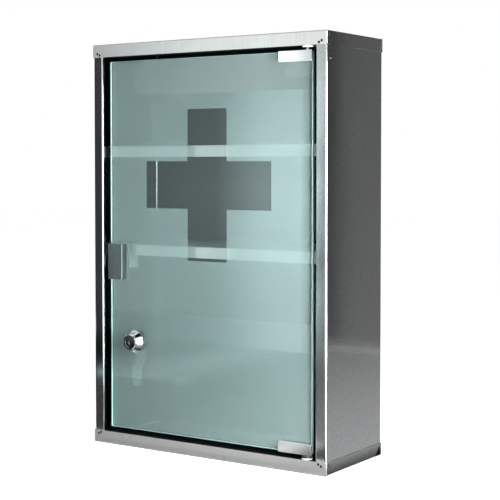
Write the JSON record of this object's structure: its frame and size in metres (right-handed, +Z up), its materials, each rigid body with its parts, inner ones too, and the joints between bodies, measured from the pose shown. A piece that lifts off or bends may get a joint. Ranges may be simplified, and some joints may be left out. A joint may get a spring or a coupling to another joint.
{
  "type": "medicine cabinet",
  "caption": "Small wall medicine cabinet of folded stainless sheet with a hinged frosted-glass door, clear cross, shelves, clip handle, key lock and magnetic catch.",
  "frame": {"origin": "centre of the whole object's footprint (lock head included), at the underside of the bottom cap", "axes": "+X to the viewer's right, +Y from the door to the wall, +Z up"},
  "size_m": [0.306, 0.1228, 0.45],
  "materials": {
    "brushed_stainless": "brushed stainless sheet, fine grain",
    "polished_stainless": "satin polished stainless",
    "plated_steel": "bright zinc plate",
    "lock_chrome": "polished chrome plate",
    "clear_glass": "clear float glass with polished edges",
    "frosting": "fine satin frosting",
    "nylon": "moulded, matt",
    "liner_rubber": "moulded, matt",
    "ferrite": "sintered, matt"
  },
  "bodies": {
    "case": {"case_wrap": "brushed_stainless", "top_cap": "brushed_stainless", "bottom_cap": "brushed_stainless", "upper_shelf": "brushed_stainless", "lower_shelf": "brushed_stainless", "upper_pivot_bracket": "plated_steel", "bracket_rivet": "plated_steel", "upper_pivot_bush": "nylon", "lower_pivot_bush": "nylon", "catch_housing": "nylon", "catch_magnet": "ferrite", "catch_pole_plates": "plated_steel", "catch_screws": "plated_steel"},
    "door": {"door_glass": "clear_glass", "frosted_film": "frosting", "upper_hinge_clamp": "polished_stainless", "lower_hinge_clamp": "polished_stainless", "hinge_liners": "liner_rubber", "hinge_set_screws": "plated_steel", "upper_pivot_pin": "plated_steel", "lower_pivot_pin": "plated_steel", "thrust_washer": "nylon", "handle_clip": "polished_stainless", "handle_liner": "liner_rubber", "handle_screws": "plated_steel", "lock_housing": "lock_chrome", "lock_rosette": "lock_chrome", "lock_washers": "liner_rubber", "lock_nut": "lock_chrome"},
    "lock_core": {"lock_plug": "lock_chrome", "lock_cam": "plated_steel", "cam_screw": "plated_steel"}
  },
  "joints": [
    {"name": "door_hinge", "type": "hinge", "parent": "case", "child": "door", "pos_m": [0.126, -0.04988, 0.225], "axis": [0, 0, 1], "range_deg": [0, 130]},
    {"name": "lock_turn", "type": "hinge", "parent": "door", "child": "lock_core", "pos_m": [-0.0977, -0.05187, 0.1182], "axis": [0, 1, 0], "range_deg": [0, 90]}
  ]
}
